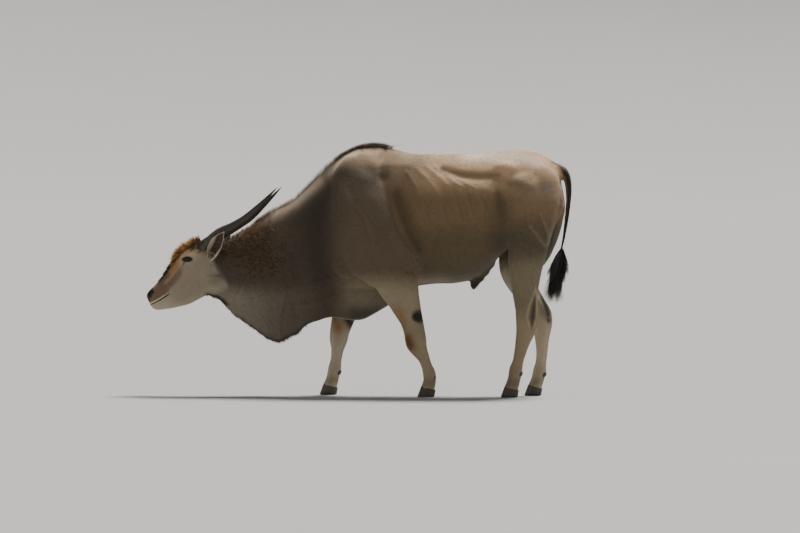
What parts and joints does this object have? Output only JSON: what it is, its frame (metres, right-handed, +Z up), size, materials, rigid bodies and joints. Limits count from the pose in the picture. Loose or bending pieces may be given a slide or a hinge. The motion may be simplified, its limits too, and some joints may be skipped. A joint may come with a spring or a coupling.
{
  "type": "common eland bull model",
  "caption": "Life-size still model of an adult bull common eland standing with lowered head, twisted horns, hanging dewlap and tufted tail.",
  "frame": {"origin": "middle of the whole outline in plan, at the level of the hoof soles", "axes": "+X from head to tail, +Y to the animal's right side, +Z up"},
  "size_m": [2.8714, 0.6912, 1.7091],
  "materials": {
    "coat": "short tawny grey-brown coat",
    "leg_coat": "short pale grey-cream coat",
    "dark_hair": "long black hair",
    "horn": "dark grey-brown horn",
    "eye": "wet dark eye",
    "hoof": "dark dull hoof"
  },
  "bodies": {
    "root": {"head": "coat", "neck": "coat", "torso": "coat", "chest": "coat", "dewlap": "coat", "tail": "coat", "left_foreleg": "leg_coat", "right_foreleg": "leg_coat", "left_hind_leg": "leg_coat", "right_hind_leg": "leg_coat", "left_ear": "coat", "right_ear": "coat", "tail_tuft": "dark_hair", "left_horn": "horn", "right_horn": "horn", "left_eye": "eye", "right_eye": "eye", "left_foreleg_left_claw": "hoof", "left_foreleg_right_claw": "hoof", "right_foreleg_left_claw": "hoof", "right_foreleg_right_claw": "hoof", "left_hind_leg_left_claw": "hoof", "left_hind_leg_right_claw": "hoof", "right_hind_leg_left_claw": "hoof", "right_hind_leg_right_claw": "hoof"}
  },
  "joints": []
}
